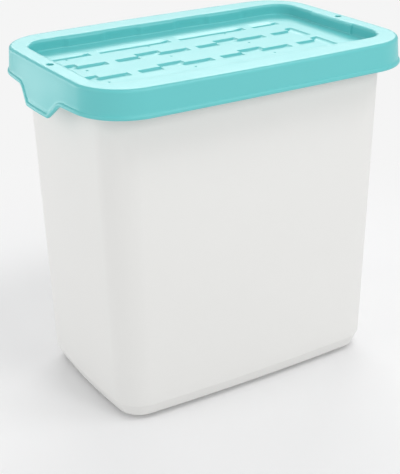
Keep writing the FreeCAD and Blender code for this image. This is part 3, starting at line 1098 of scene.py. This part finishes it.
@dataclass
class Tub:
    """Tall tapered tub: foot ring, sloping band, bowed wall and the rim that the lid snaps over."""

    half_length: float
    half_width: float
    top: float
    finish: MouldedPlastic
    rim_corner: float = 33.1
    rim_bow_ends: float = 0.4
    rim_bow_sides: float = 1.9
    rim_depth: float = 12.4
    flange: float = 3.4
    lip: float = 4.2
    overhang_ends: float = 8.8
    overhang_sides: float = 13.1
    wall_corner_top: float = 23.4
    wall_corner_bottom: float = 21.3
    wall_bow_top: float = 0.8
    wall_bow_bottom: float = 2.0
    taper_ends: float = 4.7
    taper_sides: float = 1.6
    foot_step: float = 0.8
    foot_band: float = 9.4
    foot_slope: float = 3.4
    foot_height: float = 3.2
    foot_inset: float = 6.5
    foot_wall: float = 2.2
    base_recess: float = 1.6
    wall_round: float = 0.7
    band_round: float = 1.4
    pocket_inset: float = 9.6
    pocket_depth: float = 9.9
    foot_edge: float = 0.4
    foot_cove: float = 0.3
    base_margin: float = 6.0
    seam: float = 0.25
    head_cove: float = 1.0
    rim_round: float = 0.6
    lip_round: float = 0.8
    lip_gap: float = 0.1
    corner_steps: int = 40

    def wall_top(self) -> Outline:
        """Outline of the wall under the rim."""
        return Outline(self.half_length - self.overhang_ends,
                       self.half_width - self.overhang_sides,
                       self.wall_corner_top, self.wall_bow_top, self.wall_bow_top)

    def wall_bottom(self) -> Outline:
        """Outline of the wall's bottom edge."""
        top = self.wall_top()
        return Outline(top.half_length - self.taper_ends, top.half_width - self.taper_sides,
                       self.wall_corner_bottom, self.wall_bow_bottom, self.wall_bow_bottom)

    def rim(self) -> Outline:
        """Outline of the rim."""
        return Outline(self.half_length, self.half_width, self.rim_corner, self.rim_bow_ends,
                       self.rim_bow_sides)

    def rings(self, stations: Stations, pocket: Outline) -> list[Array]:
        """Rings of the closed tub, from the middle of its base up to the pocket under the lid.

        Args:
            stations: places round the outlines.
            pocket: outline of the pocket under the lid's tray.

        Returns:
            Rings of points, in order.
        """
        bottom, top, rim = self.wall_bottom(), self.wall_top(), self.rim()
        wall_foot = self.foot_height + self.foot_band
        wall_head = self.top - self.rim_depth
        wall_height = wall_head - wall_foot

        def low(inward: float, level: float) -> Array:
            """Ring inside the outline of the wall's bottom edge."""
            return ring(bottom.grown(-inward).at(stations)[0], level)

        def wall(inward: float, level: float) -> Array:
            """Ring inside the tapered wall."""
            plans = [outline.grown(-inward).at(stations)[0] for outline in (bottom, top)]
            return ring(between(*plans, ((level - wall_foot) / wall_height,))[0], level)

        def on_rim(inward: float, level: float) -> Array:
            """Ring inside the rim's outline."""
            return ring(rim.grown(-inward).at(stations)[0], level)

        band_in = self.foot_step + self.foot_slope
        foot_in = band_in + self.foot_inset
        inside, edge = foot_in + self.foot_wall, self.foot_edge
        profile = [
            (inside + self.base_margin, self.base_recess),
            (inside + 0.5, self.base_recess),
            (inside, self.base_recess - edge),
            (inside, edge),
            (inside - edge, 0.0),
            (foot_in + edge, 0.0),
            (foot_in, edge),
            (foot_in, self.foot_height - self.foot_cove),
            (foot_in - self.foot_cove, self.foot_height),
            (band_in + self.band_round + 1.0, self.foot_height),
        ]
        turns = np.linspace(0, math.pi / 2 - math.atan2(self.foot_slope, self.foot_band), 8)
        profile += zip(band_in + self.band_round * (1 - np.sin(turns)) - self.seam,
                       self.foot_height + self.band_round * (1 - np.cos(turns)))
        profile += [(band_in - self.foot_slope * share, self.foot_height + self.foot_band * share)
                    for share in (0.45, 0.7, 0.9)]
        profile += [(self.foot_step, wall_foot - self.seam), (self.foot_step, wall_foot)]
        rings = [low(*place) for place in profile]

        margin = 2.0
        profile = [(inward, wall_foot + rise) for inward, rise in rounding(self.wall_round, 6)]
        profile += [(0.0, wall_foot + margin + (wall_height - 2 * margin) * share)
                    for share in np.linspace(0, 1, 30)[1:-1]]
        profile += [(-outward, wall_head - below) for below, outward in rounding(self.head_cove, 5)]
        rings += [wall(*place) for place in profile]

        flange_top, lip_top = wall_head + self.flange, self.top - self.lip_gap
        inner = self.pocket_inset - self.lip
        profile = [(self.rim_round, wall_head)]
        profile += [(inward, wall_head + rise) for inward, rise in rounding(self.rim_round, 4)]
        profile += [(inward, flange_top - below) for below, inward in rounding(self.rim_round, 4)]
        profile.append((inner, flange_top))
        profile += [(inner + inward, lip_top - below)
                    for below, inward in rounding(self.lip_round, 4)]
        rings += [on_rim(*place) for place in profile]

        pocket_plan = pocket.at(stations)[0]
        rings += [ring(pocket_plan, lip_top), ring(pocket_plan, self.top - self.pocket_depth)]
        return rings

    def build(self, pocket: Outline) -> list[bpy.types.Object]:
        """Build and dress the tub.

        Args:
            pocket: outline of the pocket under the lid's tray.

        Returns:
            The pieces.
        """
        end_y, side_x = self.wall_top().tangent_places()
        ends, sides = even_places(end_y, 3.0) / end_y, even_places(side_x, 3.0) / side_x
        stations = Stations.build((ends + 1) / 2, (sides + 1) / 2, self.corner_steps)
        body = make_closed("tub_body", self.rings(stations, pocket))
        sharpen(body)
        body.data.materials.append(self.finish.material())
        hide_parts("tub")
        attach(body, "root")
        return [body]


# ---- studio ------------------------------------------------------


def backward(azimuth: float, elevation: float) -> Vector:
    """Direction from a target towards a viewer or lamp at an azimuth and elevation in degrees."""
    turn, rise = math.radians(azimuth), math.radians(elevation)
    return Vector((math.sin(turn) * math.cos(rise), -math.cos(turn) * math.cos(rise),
                   math.sin(rise)))


@dataclass(frozen=True)
class Lamp:
    """Soft rectangular lamp aimed at a point, its strength given as the radiance of its face."""

    name: str
    azimuth: float
    elevation: float
    distance: float
    width: float
    height: float
    radiance: float
    aim: tuple[float, float, float] = (0.0, 0.0, 0.15)

    def build(self) -> bpy.types.Object:
        """Place the lamp. Its power is pi times area times radiance.

        Returns:
            The lamp.
        """
        data = bpy.data.lights.new(self.name, "AREA")
        data.shape = "RECTANGLE"
        data.size = self.width
        data.size_y = self.height
        data.energy = math.pi * self.width * self.height * self.radiance
        made = bpy.data.objects.new(self.name, data)
        back = backward(self.azimuth, self.elevation)
        made.location = Vector(self.aim) + back * self.distance
        made.rotation_euler = back.to_track_quat("Z", "Y").to_euler()
        bpy.context.scene.collection.objects.link(made)
        return made


@dataclass(frozen=True)
class Studio:
    """Pale floor, even world, soft lamps and the camera."""

    world_strength: float = 0.56
    backdrop: float = 0.913
    floor_colour: tuple[float, float, float] = (0.885, 0.885, 0.89)
    floor_size: float = 4.0
    floor_glow: float = 0.913
    glow_start: float = 0.2
    glow_full: float = 0.46
    mottle_size: float = 300.0
    mottle_dimming: float = 0.995
    lamps: tuple[Lamp, ...] = (
        Lamp("back_softbox", 149.0, 28.0, 1.6, 1.3, 0.45, 4.6),
        Lamp("back_left_softbox", 214.0, 2.0, 1.6, 0.9, 0.6, 2.7),
        Lamp("left_softbox", -95.0, 25.0, 1.6, 0.9, 0.9, 1.2),
        Lamp("middle_key", -20.0, 30.0, 1.6, 0.4, 0.4, 2.8),
        Lamp("low_key", 15.0, 30.0, 1.6, 0.4, 0.4, 5.9),
        Lamp("high_key", 5.0, 66.0, 1.6, 0.45, 0.45, 4.2),
        Lamp("right_key", 48.0, 52.0, 1.6, 0.5, 0.5, 4.6),
    )
    azimuth: float = -31.31
    elevation: float = 24.29
    roll: float = -0.90
    distance: float = 0.83255
    target: tuple[float, float, float] = (-0.00635, 0.0, 0.09923)
    lens: float = 83.44
    shift_y: float = -0.0028

    def world(self) -> None:
        """Even white light, which the camera sees as the backdrop's tone."""
        world = bpy.data.worlds.new("studio")
        bpy.context.scene.world = world
        graph = Graph(world)
        light = graph.node("ShaderNodeBackground", {},
                           {"Color": EVEN_WHITE, "Strength": self.world_strength})
        seen = graph.node("ShaderNodeBackground", {},
                          {"Color": EVEN_WHITE, "Strength": self.backdrop})
        to_camera = graph.node("ShaderNodeLightPath", {}, {}).out("Is Camera Ray")
        mixed = graph.node("ShaderNodeMixShader", {},
                           {0: to_camera, 1: light.out("Background"), 2: seen.out("Background")})
        graph.node("ShaderNodeOutputWorld", {}, {"Surface": mixed.out("Shader")})

    def floor(self) -> None:
        """Pale matt floor, which away from the object passes into the backdrop's even tone.

        That tone is an emission for every ray, so the far floor also lights the object a little.
        """
        half = self.floor_size / MM / 2
        line = np.linspace(-half, half, 9)
        x, y = np.meshgrid(line, line)
        points = np.stack([x, y, np.zeros_like(x)], axis=-1).reshape(-1, 3)
        made = make_object("floor", points, sheet_faces(*x.shape, False), [])
        material = bpy.data.materials.new("floor_paper")
        graph = Graph(material)
        mottle = graph.noise(graph.place(), self.mottle_size, 2.0)
        dim = tuple(c * self.mottle_dimming for c in self.floor_colour) + (1.0,)
        colour = graph.mix(mottle, dim, self.floor_colour + (1.0,))
        matt = graph.node("ShaderNodeBsdfDiffuse", {}, {"Color": colour, "Roughness": 0.0})
        glow = graph.node("ShaderNodeEmission", {},
                          {"Color": EVEN_WHITE, "Strength": self.floor_glow})
        away = graph.node("ShaderNodeVectorMath", {"operation": "LENGTH"}, {0: graph.place()})
        share = away.out("Value").smooth(self.glow_start, self.glow_full)
        shader = graph.node("ShaderNodeMixShader", {},
                            {0: share, 1: matt.out("BSDF"), 2: glow.out("Emission")})
        graph.node("ShaderNodeOutputMaterial", {}, {"Surface": shader.out("Shader")})
        made.data.materials.append(material)

    def camera(self) -> None:
        """Camera on its arc round the target, turned about its own axis by the roll."""
        back = backward(self.azimuth, self.elevation)
        level = Vector((0, 0, 1)).cross(back).normalized()
        upward = back.cross(level)
        spin = math.radians(self.roll)
        right = level * math.cos(spin) + upward * math.sin(spin)
        upward = upward * math.cos(spin) - level * math.sin(spin)
        data = bpy.data.cameras.new("camera")
        data.sensor_width = 36.0
        data.lens = self.lens
        data.shift_y = self.shift_y
        data.clip_start = 0.01
        made = bpy.data.objects.new("camera", data)
        axes = Matrix((right, upward, back)).transposed().to_4x4()
        made.matrix_world = Matrix.Translation(Vector(self.target) + back * self.distance) @ axes
        bpy.context.scene.collection.objects.link(made)
        bpy.context.scene.camera = made

    def build(self) -> None:
        """Set up the whole studio."""
        bpy.context.scene.view_settings.view_transform = "Standard"
        self.world()
        self.floor()
        for lamp in self.lamps:
            lamp.build()
        self.camera()


# ---- the whole ---------------------------------------------------

WHITE = MouldedPlastic("white_plastic", (0.84, 0.838, 0.82), Surfacing.EGGSHELL, drift=0.008)
TURQUOISE = MouldedPlastic("turquoise_plastic", (0.140, 0.590, 0.600), Surfacing.SATIN, drift=0.02)


def main() -> None:
    """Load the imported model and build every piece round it."""
    logging.basicConfig(level=logging.INFO, format="%(name)s: %(message)s")
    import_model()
    lid_low, lid_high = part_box("lid")
    tub_low, tub_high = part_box("tub")
    bead = Lid.bead_proud
    flare = Lid.flare * (1 + TabEdge.drop / (Lid.skirt_depth - Lid.crown_depth))
    lid = Lid(
        top=lid_high.z / MM,
        half_length=lid_high.x / MM - flare - bead,
        half_width=lid_high.y / MM - bead,
        finish=TURQUOISE,
    )
    tub = Tub(
        half_length=tub_high.x / MM,
        half_width=tub_high.y / MM,
        top=tub_high.z / MM,
        finish=WHITE,
    )
    tray_gap = 0.3
    for piece in lid.build() + tub.build(lid.recess_outline().grown(lid.wall + tray_gap)):
        LOG.info("%s: %d faces", piece.name, len(piece.data.polygons))
    Studio().build()


if __name__ == "__main__":
    main()
